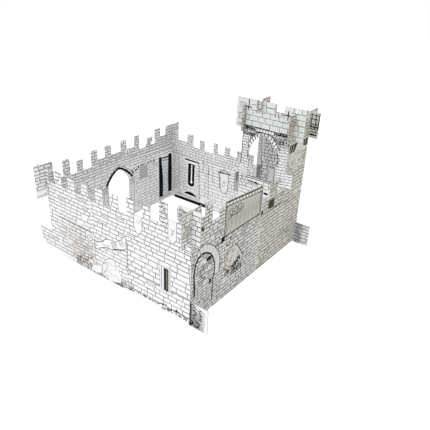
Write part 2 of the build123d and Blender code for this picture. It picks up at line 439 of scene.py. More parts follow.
def stroke(sheet, path, width, ink="line", wander=0.25, step=4.0, taper=True, over=False, lift=0.09):
    # A pen line through the points, a little unsteady, cut off where the card ends
    rand = sheet["random"]
    dots = []
    for (u0, v0), (u1, v1) in zip(path, path[1:]):
        parts = max(1, int(math.hypot(u1 - u0, v1 - v0) / step + 0.5))
        for part in range(parts):
            share = part / parts
            dots.append((u0 + (u1 - u0) * share, v0 + (v1 - v0) * share))
    dots.append(path[-1])
    dots = [(u + rand.uniform(-wander, wander), v + rand.uniform(-wander, wander)) for u, v in dots]
    rows = []
    lastDot = None
    lastIn = False
    last = len(dots) - 1
    slot = inkOrder.index(ink)

    def pairAt(u, v, side, half):
        left = touch(sheet, u + side[0] * half, v + side[1] * half, lift * mm, over)
        right = touch(sheet, u - side[0] * half, v - side[1] * half, lift * mm, over)
        return (left, right) if left is not None and right is not None else None

    for index, (u, v) in enumerate(dots):
        before = dots[max(index - 1, 0)]
        after = dots[min(index + 1, last)]
        du, dv = after[0] - before[0], after[1] - before[1]
        length = math.hypot(du, dv) or 1.0
        side = (-dv / length, du / length)
        half = width / 2 * rand.uniform(*penLook["pressure"])
        if taper and index in (0, last):
            half *= penLook["taper"]
        pair = pairAt(u, v, side, half)
        if lastDot is not None and (pair is not None) != lastIn:
            # Walk to the card's edge
            low, high = 0.0, 1.0
            edgePair = None
            for _ in range(penLook["edgeSteps"]):
                middle = (low + high) / 2
                mu, mv = lastDot[0] + (u - lastDot[0]) * middle, lastDot[1] + (v - lastDot[1]) * middle
                trial = pairAt(mu, mv, side, half)
                if (trial is not None) == lastIn:
                    low = middle
                else:
                    high = middle
                if trial is not None:
                    edgePair = trial
            if edgePair is not None:
                rows.append(edgePair)
        if pair is not None:
            rows.append(pair)
        else:
            addRibbon(sheet, rows, slot)
            rows = []
        lastDot = (u, v)
        lastIn = pair is not None
    addRibbon(sheet, rows, slot)


def mark(sheet, path, width, ink="line", wander=0.25, step=4.0, lift=0.09):
    # A stroke that is drawn over clear areas too
    stroke(sheet, path, width, ink, wander, step, over=True, lift=lift)


def ladder(sheet, path, count, along, up, width, ink="line", wander=0.25):
    # Copies of a mark, each along and up from the last. A tuple of inks is used in turn.
    turns = ink if isinstance(ink, tuple) else (ink,)
    for index in range(count):
        mark(sheet, shifted(path, along * index, up * index), width, turns[index % len(turns)], wander)


def fill(sheet, outline, ink, lift=0.05, hole=()):
    # A flat printed shape, with or without a hole; every corner lies on the card
    spots = [touch(sheet, u, v, lift * mm) for u, v in list(outline) + list(hole)]
    if any(spot is None for spot in spots):
        print("fill off the card on", sheet["name"], outline[0])
        return
    first = len(sheet["verts"])
    sheet["verts"].extend(spots)
    loops = [[Vector((u, v, 0)) for u, v in loop] for loop in (outline, hole) if loop]
    for corners in tessellate_polygon(loops):
        sheet["faces"].append(tuple(first + corner for corner in corners))
        sheet["slots"].append(inkOrder.index(ink))


def box(left, right, low, high):
    return [(left, low), (right, low), (right, high), (left, high)]


def closed(outline):
    return outline + outline[:1]


def shifted(path, u, v):
    return [(u + du, v + dv) for du, dv in path]


def oval(middleU, middleV, halfU, halfV, corners=12):
    turns = [2 * math.pi * corner / corners for corner in range(corners)]
    return [(middleU + halfU * math.cos(turn), middleV + halfV * math.sin(turn)) for turn in turns]


def arcPoints(start, end, bow, count=10):
    # Points on a shallow arc from start to end, bowed to the left of the way by bow
    points = []
    du, dv = end[0] - start[0], end[1] - start[1]
    length = math.hypot(du, dv)
    for index in range(count + 1):
        share = index / count
        push = 4 * bow * share * (1 - share) / length
        points.append((start[0] + du * share - dv * push, start[1] + dv * share + du * push))
    return points


def blots(sheet, points, size, ink="line", lift=0.1):
    # Small uneven dots
    rand = sheet["random"]
    for u, v in points:
        ring = oval(u, v, size / 2 * rand.uniform(0.8, 1.2), size / 2 * rand.uniform(0.8, 1.2), 7)
        spot = [(a + rand.uniform(-0.2, 0.2) * size, b + rand.uniform(-0.2, 0.2) * size) for a, b in ring]
        if all(touch(sheet, a, b, 0) is not None for a, b in spot):
            fill(sheet, spot, ink, lift)


def dottedLine(sheet, start, end, every, size, ink="line"):
    rand = sheet["random"]
    count = max(1, int(math.hypot(end[0] - start[0], end[1] - start[1]) / every))
    for index in range(count + 1):
        share = index / count
        u = start[0] + (end[0] - start[0]) * share + rand.uniform(-0.3, 0.3)
        v = start[1] + (end[1] - start[1]) * share + rand.uniform(-0.3, 0.3)
        blots(sheet, [(u, v)], size, ink)


def courses(sheet, left, right, low, high, rise, stone, width=0.75, ink="line", gaps=0.05, split=0.08,
            lean=0.0, upright=1.0):
    # Hand-drawn ashlar: uneven courses of stones, each stone's foot and one end drawn
    rand = sheet["random"]
    level = low
    while level < high:
        top = min(level + rand.uniform(*rise), high)
        at = left - rand.uniform(0, stone[1])
        while at < right:
            length = rand.uniform(*stone)
            a, b = max(at, left), min(at + length, right)
            if b - a > 1:
                if rand.random() > gaps:
                    tilt = rand.uniform(-0.3, 0.3)
                    joint = width * rand.uniform(0.8, 1.15)
                    stroke(sheet, [(a, level - tilt), (b, level + tilt)], joint, ink)
                if b < right and rand.random() > gaps:
                    shift = rand.uniform(-0.5, 0.5)
                    joint = width * upright * rand.uniform(0.75, 1.1)
                    stroke(sheet, [(b + shift, level), (b - shift + lean, top)], joint, ink)
                if rand.random() < split:
                    middle = level + (top - level) * rand.uniform(0.4, 0.6)
                    stroke(sheet, [(a, middle), (b, middle)], width * 0.8, ink)
            at += length
        level = top


def rubble(sheet, left, right, low, high, size, width, gaps=0.05):
    # Rows of small rounded stones
    rand = sheet["random"]
    level = low
    while level < high:
        rowHeight = rand.uniform(size * 0.75, size * 1.05)
        at = left - rand.uniform(0, size)
        while at < right:
            length = rand.uniform(size * 0.9, size * 1.9)
            if rand.random() > gaps:
                middleU, middleV = at + length / 2, level + rowHeight / 2
                halfU, halfV = length / 2 - 0.35, rowHeight / 2 - 0.3
                loop = []
                for corner in range(9):
                    turn = corner / 8 * 2 * math.pi
                    pull = 1.0 + rand.uniform(-0.08, 0.08)
                    cosine, sine = math.cos(turn), math.sin(turn)
                    reach = (abs(cosine) ** 3 + abs(sine) ** 3) ** (-1 / 3) * pull
                    loop.append((middleU + halfU * cosine * reach, middleV + halfV * sine * reach))
                loop[-1] = loop[0]
                if loop[0][0] < right:
                    stroke(sheet, loop, width, "line", wander=0.12, step=6.0, taper=False)
            at += length
        level += rowHeight


def grass(sheet, left, right, base, height, count, ink="grey", width=0.6):
    rand = sheet["random"]
    for _ in range(count):
        u = rand.uniform(left, right)
        v = base + rand.uniform(0, 2)
        tall = height * rand.uniform(0.4, 1.0)
        bend = rand.uniform(-0.5, 0.5) * tall
        stroke(sheet, shifted([(0, 0), (bend * 0.3, tall * 0.6), (bend, tall)], u, v), width, ink, 0.1, 3.0)


def scribble(sheet, left, right, low, high, count, reach, ink="line", width=0.7, over=False):
    rand = sheet["random"]
    for _ in range(count):
        u, v = rand.uniform(left, right), rand.uniform(low, high)
        points = [(u, v)]
        for _ in range(3):
            u += rand.uniform(-reach, reach)
            v += rand.uniform(-reach, reach) * 0.5
            points.append((u, v))
        stroke(sheet, points, width, ink, wander=0.2, step=3.0, over=over)


def each(tool, sheet, rows):
    for row in rows:
        tool(sheet, *row)


def layGround(sheet, look):
    # Areas that the stones leave out, and the flat printed shapes
    for outline in look["clear"]:
        keepClear(sheet, outline)
    each(fill, sheet, look["fills"])


def finishSheet(sheet):
    mesh = bpy.data.meshes.new(sheet["name"])
    mesh.from_pydata(sheet["verts"], [], sheet["faces"])
    for name in inkOrder:
        mesh.materials.append(inks[name])
    mesh.polygons.foreach_set("material_index", sheet["slots"])
    # Turn every face to look out of the card
    outward = Vector((0, sheet["facing"], 0)) if sheet["along"] == "X" else Vector((sheet["facing"], 0, 0))
    wrong = [polygon.index for polygon in mesh.polygons if polygon.normal.dot(outward) < 0]
    for index in wrong:
        mesh.polygons[index].flip()
    mesh.update()
    piece = bpy.data.objects.new(sheet["name"], mesh)
    bpy.context.scene.collection.objects.link(piece)
    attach(piece, "root")
    print("printed", sheet["name"], len(mesh.polygons))


# Rows in the tables of the sheets hold what the tools above take after the sheet, in millimetres:
# a line is path, width, ink, wander, step and lift, and a fill is outline, ink and lift,
# courses are left, right, low, high, rise, stone, width, ink, gaps, split, lean and upright,
# dots are start, end, spacing, size and ink, and a ladder is path, count, along, up, width, ink and wander,
# a scribble is left, right, low, high, count, reach, ink and width.

# Front wall, outside

def bannerOutline(left, right, low, high, tip=14, bow=-2.0):
    middle = (left + right) / 2
    points = [(left, high), (left, low + tip)]
    points += arcPoints((left, low + tip), (middle, low), bow, 5)[1:]
    points += arcPoints((middle, low), (right, low + tip), bow, 5)[1:]
    return points + [(right, high)]


frontBanners = [bannerOutline(66, 88, 157, 197.5), bannerOutline(155, 176, 170, 218.5)]
windowFrame = box(134, 162.5, 55, 111)
boulder = [(-42, 14), (-38, 30), (-36, 39), (-28, 52), (-21, 58), (-8, 64), (0, 65), (6, 58), (12, 49),
           (18, 39), (24, 30), (20, 14), (0, 7), (-18, 5)]
smallRocks = [(-76, 11), (-67.3, 25.3), (-47.5, 31.7), (-37.1, 27.4), (-42, 12), (-60, 5)]
wallBreak = [(-4, 101), (0, 114), (10, 113), (17, 118), (28, 126), (33, 133), (41, 139), (41, 108), (24, 100),
             (5, 94)]
upperCrack = [(-51, 89), (-33, 98), (-24, 106), (-15, 111), (-3, 112)]
lowerCrack = [(-45, 77), (-24, 87), (-7, 89), (10, 94), (39, 104)]
ringMark = oval(-73, 92, 8, 7)

frontPrint = {
    "clear": [
        *frontBanners, windowFrame, boulder, smallRocks, wallBreak, upperCrack + lowerCrack[::-1], ringMark,
    ],
    "fills": [
        (box(144.5, 156.5, 56, 108.5), "black", 0.1),
        (box(138.5, 143.9, 59, 108.5), "pale", 0.06),
        (boulder, "chalk"),
    ],
    "bannerLines": [(outline, 1.1, "grey", 0.1) for outline in frontBanners],
    "bannerMarks": [
        (161, 170, 186, 200, 12, 3.0, "faint", 0.9, True),
        (72, 82, 181, 193, 8, 3.0, "faint", 0.8, True),
    ],
    "lines": [
        # Window
        (closed(windowFrame), 0.8, "line", 0.15),
        ([(148.1, 58), (148.1, 106.5)], 1.5, "warm", 0.2, 4.0, 0.12),
        ([(151.94, 58), (151.94, 106.5)], 1.5, "tan", 0.2, 4.0, 0.12),
        ([(154.1, 58), (154.1, 106.5)], 1.5, "grey", 0.2, 4.0, 0.12),
        ([(138.5, 58), (138.5, 110)], 1.3),
        ([(159.3, 56), (159.3, 109)], 0.8, "grey"),
        # Boulder and small rocks
        (boulder[:12], 0.9, "grey", 0.7),
        ([(-30, 46), (-18, 50), (-4, 47), (8, 52)], 0.9, "faint", 0.8),
        ([(-20, 30), (-8, 22), (4, 26), (14, 16)], 0.9, "faint", 0.8),
        ([(-34, 24), (-26, 14), (-14, 12)], 0.9, "faint", 0.8),
        ([(2, 58), (6, 46), (2, 36)], 0.9, "faint", 0.8),
        ([(-36, 38.8), (-27.4, 45.6), (-19.8, 42.8), (-25.4, 25.9), (-38.4, 13.5)], 1.0, "grey", 0.6),
        (smallRocks, 1.0, "grey", 0.8),
        # Break in the wall with two stones in it, and the cracks beside it
        (closed(wallBreak), 1.3, "line", 0.6),
        (closed(oval(6.5, 105, 6.2, 7)), 1.0),
        ([(4.5, 101), (5.5, 109)], 1.5, "grey", 0.5, 2.0),
        ([(8, 101), (9, 109)], 1.5, "grey", 0.5, 2.0),
        (closed(oval(27.5, 116.5, 6.5, 8)), 1.0),
        ([(25.5, 112.5), (26.5, 120.5)], 1.5, "grey", 0.5, 2.0),
        ([(29, 112.5), (30, 120.5)], 1.5, "grey", 0.5, 2.0),
        (upperCrack, 1.6, "line", 0.7),
        (lowerCrack, 1.5, "line", 0.7),
        ([(-34, 97), (-28, 91), (-12, 93), (-8, 99)], 1.0, "grey", 0.5),
        # Brown ring and seam at the left
        (closed(ringMark), 1.3, "brown"),
        ([(-76, 95), (-72, 90), (-70, 95)], 1.0, "brown"),
        ([(-53.7, 112), (-57, 75), (-61.2, 38.4)], 1.0, "brown", 0.8),
    ],
    # Middle, low and high of the two teeth with loose marks, and the shape of a mark
    "markedTeeth": [(143, 198, 250), (187, 222, 253)],
    "toothMark": [(-7, 2), (-2, -1.5), (2, 2), (8, -1)],
    # Rows of marks on such a tooth, their inset at both ends, and how far they sway
    "toothRows": (7, 3, 4),
    "seam": ([(44, 46), (44.5, 132)], 1.3, "line", 0.5),
    "seamDots": ((42.6, 124), (42.2, 50), 6.0, 2.0, "grey"),
    "courses": [
        (-256, -150, 17, 110, (8.2, 10.2), (13, 26), 1.55),
        (-150, -62, 17, 110, (8.0, 9.6), (13, 24), 1.8, "brown"),
        (-256, -62, 110, 262, (8.2, 10.2), (13, 26), 1.55),
        (-62, 44, 17, 262, (8.6, 10.4), (13, 27), 1.45, "line", 0.01, 0.02),
        (44, 212, 17, 62, (9.5, 11), (15, 30), 1.45, "line", 0.0, 0.02),
        (44, 212, 62, 132, (11.0, 13.5), (18, 34), 1.5, "line", 0.0, 0.0),
        (44, 256, 132, 262, (9.0, 10.6), (14, 28), 1.5, "line", 0.01, 0.02),
    ],
    # Left, right, foot, height, count, ink and width
    "grassLeft": [(-70, -12, 2, 14, 34, "line", 1.0), (-12, 26, 3, 16, 24, "line", 1.1)],
    # A bent blade, how many there are, where they start, and their steps along and up
    "blade": [(0, 0), (-5, 8), (-12, 14)],
    "blades": (11, 20, 8, 4.2, 0.4),
    "grassRight": (36, 66, 8, 9, 12, "grey", 1.0),
    # Left, right and level of the broken ground stones
    "groundStones": [(-60, -38, 9), (-36, -14, 6), (-10, 12, 8), (16, 34, 12), (60, 74, 16), (86, 100, 19)],
    "brownGrass": (-130, -56, 2, 32, 34, "brown", 1.0),
    "brownMarks": (-118, -64, 4, 66, 46, 4.0, "brown", 1.4),
    # The ground lines, and where each piece of them gets its marks
    "groundShares": (0.1, 0.3, 0.5, 0.7, 0.9),
    "groundLines": [
        [(-8, 7), (12, 6), (30, 8), (50, 10)],
        [(50, 10), (79, 13.6), (103, 12.3), (126, 13.3), (153, 20)],
        [(139, 7.5), (162, 12.7), (179, 18), (205, 15)],
    ],
    "cornerGrass": (150, 205, 6, 9, 40, "grey", 0.8),
    "cornerBlots": ([(178, 20), (186, 17), (155, 13), (162, 13), (147, 11)], 4.5),
    # Foot past the corner, in painted shadow beside the gate wall: rubble as sloped lines at each of the
    # levels
    "footLevels": [52 - row * 6.6 for row in range(8)],
    "footLines": [
        ([(212, 4), (218, 2.5), (225, -2), (232, -6), (239, -9)], 1.9, "line"),
        ([(214, 7), (221, 4), (229, 0)], 1.4, "grey"),
        ([(232, 3), (242, -3), (250, -8)], 1.3, "grey"),
    ],
    # A black strip up the foot's edge beside the gate wall: painted shadow
    "footShadowStrip": ([(212.6, 2), (213.8, 7)], 14, 0, 4.3, 4.2, "black", 0.7),
    # Dark scribbles over the foot: rubble, darkened as painted shade
    "footRubbleAndShadeScribbles": [(214, 244, 2, 20, 24, 4.5, "black", 1.9), (216, 244, 28, 54, 20, 4.0, "line", 1.7)],
}


def drawFrontWall(sheet):
    look = frontPrint
    layGround(sheet, look)
    each(mark, sheet, look["bannerLines"])
    each(scribble, sheet, look["bannerMarks"])
    each(mark, sheet, look["lines"])
    count, inset, sway = look["toothRows"]
    for middle, low, high in look["markedTeeth"]:
        for step in range(count):
            level = low + inset + (high - low - 2 * inset) * step / (count - 1)
            ink = "line" if step % 3 == 1 else "grey"
            mark(sheet, shifted(look["toothMark"], middle, level), 1.2, ink, 1.3)
            at = middle + (step % 3 - 1) * sway
            mark(sheet, [(at - 1, level - 3), (at, level + 3)], 1.1, "faint", 1.0, 3.0)
    mark(sheet, *look["seam"])
    dottedLine(sheet, *look["seamDots"])
    each(courses, sheet, look["courses"])
    # Grass, weeds and the broken ground line
    each(grass, sheet, look["grassLeft"])
    foot, bend, tip = look["blade"]
    count, left, level, along, up = look["blades"]
    for index in range(count):
        blade = [foot, bend, (tip[0], tip[1] + index % 3 * 4)]
        stroke(sheet, shifted(blade, left + index * along, level + index * up), 1.1, "grey", 0.4)
    grass(sheet, *look["grassRight"])
    for left, right, level in look["groundStones"]:
        third = (right - left) / 3
        path = [(left, level), (left + third, level + 3), (right - third, level - 1), (right, level + 2)]
        stroke(sheet, path, 1.2, "grey", 0.9)
    grass(sheet, *look["brownGrass"])
    scribble(sheet, *look["brownMarks"])
    for path in look["groundLines"]:
        for (u0, v0), (u1, v1) in zip(path, path[1:]):
            ink, width = ("grey", 1.2) if u0 < 60 else ("line", 1.5)
            for share in look["groundShares"]:
                u, v = u0 + (u1 - u0) * share, v0 + (v1 - v0) * share
                scribble(sheet, u - 3, u + 3, v - 1.5, v + 1.5, 3, 3.0, ink, width)
    grass(sheet, *look["cornerGrass"])
    blots(sheet, *look["cornerBlots"])
    for level in look["footLevels"]:
        for path, width, ink in look["footLines"]:
            mark(sheet, shifted(path, 0, level), width, ink, 1.0)
    # Painted shadow beside the gate wall: a black strip, then rubble scribbles darkened as painted shade
    ladder(sheet, *look["footShadowStrip"])
    each(scribble, sheet, look["footRubbleAndShadeScribbles"])


# Left wall, the side towards the yard

yardArch = [(-47.2, 113.5), (-39.3, 126.5), (-26.3, 139.8), (-13.5, 148.8), (-4.4, 153.0),
            (7.8, 148.4), (21.7, 138.7), (34.1, 126.8), (43.1, 115.5)]
archRing = [(-52, 110), (-46, 126), (-31, 144), (-14, 156), (-4, 161), (10, 156), (26, 146), (40, 133),
            (50, 118)]
posts = [
    [(152, 14), (168.5, 14), (169.5, 50), (168.8, 80), (165.5, 110), (162.2, 141), (151.3, 142), (152.4, 80)],
    [(192.5, 22), (208.6, 18), (208.7, 80), (208.3, 110), (207, 142), (192.8, 142), (191, 80)],
]
plaque = box(73, 105, 96, 136)
jambs = [(-62, -41.5), (33, 55)]

leftPrint = {
    # The arch's band lies this far outside the opening's edge, away from this point
    "archMiddle": (-2, 95),
    "archShift": 1.8,
    "archWidth": 6.4,
    "clear": [
        [(-50, 104), (-47.2, 113.5)] + yardArch[1:-1] + [(45, 113), (45, 104)],
        yardArch + archRing[::-1],
        box(*jambs[0], 20, 112),
        box(*jambs[1], 20, 112),
        box(148, 211, 4, 144),
        plaque,
    ],
    "fills": [
        ([(u + 1.5, v + 2.5) for u, v in yardArch[4:]] + [(50, 117)] + archRing[4:-1][::-1], "clean"),
        (box(-61, -42.5, 97, 109), "mid"),
        (box(34, 54, 97, 109), "mid"),
        (posts[0], "black", 0.1),
        (posts[1], "black", 0.1),
        (box(170, 191, 20, 126), "pale"),
        (plaque, "shade"),
    ],
    # Lines across a jamb: inset, level, width and ink
    "capital": [(0, 110, 1.5, "line"), (2, 103, 1.2, "grey"), (1, 96.5, 1.3, "line")],
    "jambSides": (37, 51, -58.5, -45.5),
    # Joints of a jamb: inset, level of the first one, tilt, count and rise
    "jambRungs": (4, 24, 0.6, 10, 7.4),
    "lintels": [
        ([(161, 135.5), (197.5, 134.5)], 4.6, "black", 0.3),
        ([(163, 128.5), (195, 127)], 1.6, "line", 0.3),
    ],
    # Levels of the blots down a post, and of the panel's bricks
    "postLevels": range(26, 138, 9),
    "panelLevels": [28 + row * 9.6 for row in range(11)],
    "panelLines": [
        ([(173, 24), (172, 130)], 1.2, "grey"),
        ([(150, 18), (208, 20)], 1.5, "grey"),
        ([(150, 12), (208, 14)], 1.5, "grey"),
        ([(150, 7), (208, 9)], 1.5, "grey"),
    ],
    "plaqueLines": ([(76, 97), (77, 135)], 9, 3.3, 0, 1.3, ("mid", "faint"), 0.4),
    "archBlots": (
        [(44, 135), (51.7, 137.4), (60, 133), (69, 138), (56, 129), (47, 128), (80, 139)], 5.0, "black",
    ),
    # Along, low and high of the dark pegs
    "pegs": [
        (69, 133, 140), (86, 136, 143), (91, 139, 144), (108.2, 135, 143), (118, 138, 144), (130, 135, 144),
    ],
    "stringPath": [(-208, 163.5), (-60, 164.5), (60, 163.5), (208, 160.5)],
    # Height over the first line and width of the string course's lines
    "stringCourse": [(0, 1.4), (7, 0.9)],
    "stringDots": ((-200, 160.8), (200, 159), 11.0, 1.8, "grey"),
    "courses": [
        (-250, 250, 4, 96, (8.0, 10.0), (13, 24), 1.15),
        (-250, 250, 96, 163, (8.0, 10.0), (13, 24), 1.2),
        (-250, 60, 171, 232, (7.0, 9.0), (10, 20), 1.5),
        (60, 250, 171, 232, (6.5, 8.0), (8, 15), 1.55),
    ],
}


def drawLeftWallYard(sheet):
    look = leftPrint
    arch = []
    for u, v in yardArch:
        du, dv = u - look["archMiddle"][0], v - look["archMiddle"][1]
        reach = look["archShift"] / math.hypot(du, dv)
        arch.append((u + du * reach, v + dv * reach))
    stroke(sheet, arch, look["archWidth"], "black", wander=0.0, step=3.0, taper=False, over=True, lift=0.11)
    layGround(sheet, look)
    mark(sheet, archRing, 1.3, "grey", 0.3)
    for ends in zip(yardArch[1:-1], archRing[1:-1]):
        mark(sheet, ends, 0.9, "grey")
    for left, right in jambs:
        for inset, level, width, ink in look["capital"]:
            mark(sheet, [(left + inset, level), (right - inset, level)], width, ink)
        inset, level, tilt, count, rise = look["jambRungs"]
        ladder(sheet, [(left + inset, level), (right - inset, level + tilt)], count, 0, rise, 1.0, "grey")
    for u in look["jambSides"]:
        mark(sheet, [(u, 21), (u, 96)], 1.2, "grey")
    # Two tall posts with a light panel between them
    for post in posts:
        for level in look["postLevels"]:
            blots(sheet, [(post[0][0] + 0.4, level), (post[3][0] - 2.2, level + 4)], 3.0, "black")
    each(mark, sheet, look["lintels"])
    for index, level in enumerate(look["panelLevels"]):
        middle = 178 + index % 2 * 8
        mark(sheet, [(173, level), (194, level + 1)], 1.2, "grey")
        mark(sheet, [(middle, level), (middle, level + 9.6)], 1.1, "grey")
    each(mark, sheet, look["panelLines"])
    # Plaque and the marks beside it
    ladder(sheet, *look["plaqueLines"])
    blots(sheet, *look["archBlots"])
    for u, low, high in look["pegs"]:
        mark(sheet, [(u, low), (u, high)], 4.4, "black")
    for level, width in look["stringCourse"]:
        stroke(sheet, shifted(look["stringPath"], 0, level), width, "line", 0.3)
    dottedLine(sheet, *look["stringDots"])
    each(courses, sheet, look["courses"])


# Rear wall, the side towards the yard, with the tower's inside

slitSlab = [(-147, 125.2), (-147, 60), (-144.5, 56.5), (-140, 54.5), (-134, 53.8), (-128, 54.8), (-124.5, 58),
            (-122.9, 63), (-122.9, 125.2)]
slitHole = [(-136, 122.6), (-132, 122.6), (-132, 71.6), (-130.3, 69.8), (-129.9, 68), (-130.3, 66),
            (-132, 64.2), (-134, 63.8), (-136, 64.2), (-137.7, 66), (-138.1, 68), (-137.7, 69.8),
            (-136, 71.6)]
crescent = [(-161, 24.6), (-155, 30), (-148, 33.6), (-138, 35), (-128, 33.6), (-118, 29.6), (-107, 21.5),
            (-113, 23.4), (-124, 24.4), (-137, 24.4), (-150, 25)]
rearFlag = [(-35, 127), (-31, 86), (-29, 78), (-24, 71.5), (-17, 68), (-11, 69), (-5.5, 76), (-3, 88),
            (-3.4, 129)]
greyBar = [(17, 84), (30.5, 86), (29.5, 150), (18, 143)]
towerCorner = [(82, 285), (82, 130), (98, 130), (99, 156), (94, 215), (90.5, 263), (90, 285)]

rearPrint = {
    "clear": [
        box(-150, -120, 50, 128),
        [(-165, 20), (-165, 30), (-148, 38), (-124, 38), (-104, 24), (-104, 18)],
        box(-200, -80, 1, 19),
        box(-163, -103, 128, 137),
        rearFlag,
        greyBar,
        towerCorner,
        box(115, 137, 145, 188),
    ],
    "fills": [
        (slitSlab, "black", 0.1, slitHole),
        (crescent, "black", 0.1),
        ([(-198, 0.6), (-79.5, 0.8), (-79.5, 11.5), (-198, 9.5)], "black", 0.12),
        (box(-196, -108, 11.8, 17), "pale"),
        (box(-158, -108, 129, 132.6), "clean"),
        (greyBar, "mid", 0.04),
        ([(21.5, 118), (27, 118), (27.5, 147), (21.5, 144)], "faint", 0.06),
        (towerCorner, "mid"),
        (box(116, 136, 146, 183), "clean"),
    ],
    "slitLines": [
        ([(-197, 18), (-150, 19), (-104, 17), (-94, 8)], 1.1, "grey"),
        ([(-161, 135), (-105, 135)], 4.4, "black", 0.1),
    ],
    "slitDots": [((-181.7, 147), (-180.7, 20), 4.4, 2.8), ((-106.6, 130), (-102.8, 22), 5.0, 3.4)],
    "seams": [([(-106.6, 130), (-102.8, 24)], 1.3), ([(-94, 146), (-90.5, 115)], 1.6, "grey")],
    "slantDots": ((-94, 144), (-78, 118), 6.0, 3.0, "grey"),
    "longSeam": ([(-73.5, 139), (-70, 30)], 1.4, "grey", 0.8),
    "seamDots": [
        ((-74, 136), (-70.5, 40), 8.0, 3.0),
        ((-60, 136), (-58, 92), 6.0, 3.0, "grey"),
        ((-84, 104), (-83, 40), 7.0, 3.2),
        ((-52, 118), (-50, 84), 7.0, 3.0, "grey"),
    ],
    "flagLines": [(rearFlag, 2.0, "grey", 0.2), ([(-31.5, 122), (-27.5, 84), (-22, 76)], 1.1, "faint")],
    "flagMarks": (-24, -12, 88, 106, 14, 3.0, "faint", 1.2, True),
    "flagBar": ((-38, 127.2), (1, 130.4), 3.2, 4.6),
    "flagBlots": ([(-19, 140), (-25, 136), (-13, 137), (-31, 133), (-20, 134), (-8, 135)], 3.8),
    "greyBarRungs": ([(20, 90), (24, 91.4), (27, 90)], 13, 0, 4.4, 1.9, ("grey",) * 7 + ("line",) * 6, 0.5),
    "greyBarSides": [([(30, 86), (29, 150)], 1.6, "grey"), ([(17.4, 84), (18.4, 143)], 1.2, "grey")],
    # Fine stones on top and beside the slit, larger ones lower down
    "courses": [
        (-209, -181, 6, 150, (7.8, 9.2), (9, 15), 1.05),
        (-181, -105, 20, 150, (7.8, 9.4), (10, 17), 1.05),
        (-256, -60, 146, 216, (7.0, 8.2), (8, 15), 1.4, "grey", 0.05, 0.0),
        (-60, 80, 146, 216, (7.0, 8.2), (8, 15), 1.4, "grey", 0.05, 0.0),
        (-105, 80, 110, 148, (8, 9.5), (13, 22), 1.05),
        (-105, 80, 4, 112, (9.5, 11.5), (16, 28), 0.95),
    ],
    "topMarks": (-209, 78, 196, 212, 60, 1.5, "line", 1.3),
    # Left end and width of the teeth, then the shares of the width and the levels for rows of dots
    "teeth": [(-153.5, 23), (-107.5, 18), (-60, 16), (-22.5, 19.5), (18, 19.5), (53, 19)],
    "toothColumns": (0.3, 0.7),
    "toothLevels": (182, 208),
    "endCourses": [
        (-256, -209, 0, 150, (7, 9), (10, 18), 1.1, "grey"),
        (211, 256, 0, 60, (8, 10), (12, 22), 1.6),
    ],
    "cornerRungs": [
        ([(83, 133), (89, 134.5), (96, 133)], 16, 0, 3.2, 2.0, "line", 0.9),
        ([(83, 190), (90, 191)], 11, 0, 8.4, 1.2, "grey", 0.6),
    ],
    "nicheLines": [
        ([(116, 146), (116, 184), (136, 184), (136, 146)], 1.3),
        ([(111, 188), (140, 187)], 1.8),
        ([(120, 150), (120, 181)], 0.9, "grey"),
    ],
    "towerCourses": [
        (95, 209, 120, 330, (7.5, 9), (8, 13), 1.6),
        (80, 209, 4, 120, (10, 12), (14, 24), 1.1, "grey"),
    ],
}


def drawRearWallYard(sheet):
    look = rearPrint
    layGround(sheet, look)
    each(mark, sheet, look["slitLines"])
    each(dottedLine, sheet, look["slitDots"])
    each(mark, sheet, look["seams"])
    dottedLine(sheet, *look["slantDots"])
    mark(sheet, *look["longSeam"])
    each(dottedLine, sheet, look["seamDots"])
    # Banner on its bar
    each(mark, sheet, look["flagLines"])
    scribble(sheet, *look["flagMarks"])
    dottedLine(sheet, *look["flagBar"])
    blots(sheet, *look["flagBlots"])
    # Slim grey bar with rungs, just left of the tower front's edge as the camera sees it
    ladder(sheet, *look["greyBarRungs"])
    each(mark, sheet, look["greyBarSides"])
    each(courses, sheet, look["courses"])
    scribble(sheet, *look["topMarks"])
    low, high = look["toothLevels"]
    for start, width in look["teeth"]:
        for column in look["toothColumns"]:
            at = start + width * column
            dottedLine(sheet, (at, low), (at, high), 6.0, 2.6, "grey")
    each(courses, sheet, look["endCourses"])
    # Inside of the tower
    mark(sheet, towerCorner[2:], 1.5)
    each(ladder, sheet, look["cornerRungs"])
    each(mark, sheet, look["nicheLines"])
    each(courses, sheet, look["towerCourses"])


# Tower front

